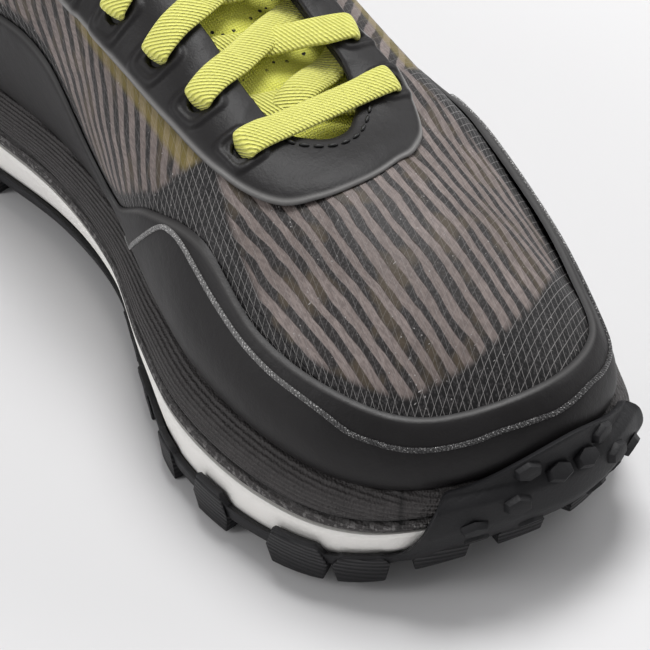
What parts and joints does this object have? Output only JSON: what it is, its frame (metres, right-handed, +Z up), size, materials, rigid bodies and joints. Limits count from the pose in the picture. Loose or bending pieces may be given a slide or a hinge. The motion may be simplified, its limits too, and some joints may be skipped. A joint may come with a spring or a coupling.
{
  "type": "trail running shoe",
  "caption": "Low-cut trail running shoe with a lugged rubber outsole, layered foam midsole, moulded rand, laced throat and padded tongue.",
  "frame": {"origin": "on the floor, under the middle of the shoe's box", "axes": "+X to the toe, +Y to the outer (lateral) side, +Z up"},
  "size_m": [0.3026, 0.1131, 0.1103],
  "materials": {
    "outsole_rubber": "matt moulded rubber",
    "white_foam": "moulded foam, fine skin",
    "dark_foam": "moulded foam, sanded grain",
    "sockliner": "knitted cover",
    "mesh": "light film over woven mesh",
    "moulded_film": "matt moulded film",
    "lime_textile": "woven and knitted textile"
  },
  "bodies": {
    "root": {"outsole": "outsole_rubber", "midsole_lower": "white_foam", "midsole_upper": "dark_foam", "insole": "sockliner", "upper": "mesh", "rand": "moulded_film", "eyestay": "moulded_film", "tongue": "lime_textile", "lace_bar": "lime_textile", "lace_crossing_1": "lime_textile", "lace_crossing_2": "lime_textile", "lace_crossing_3": "lime_textile", "lace_crossing_4": "lime_textile", "lace_crossing_5": "lime_textile"}
  },
  "joints": []
}
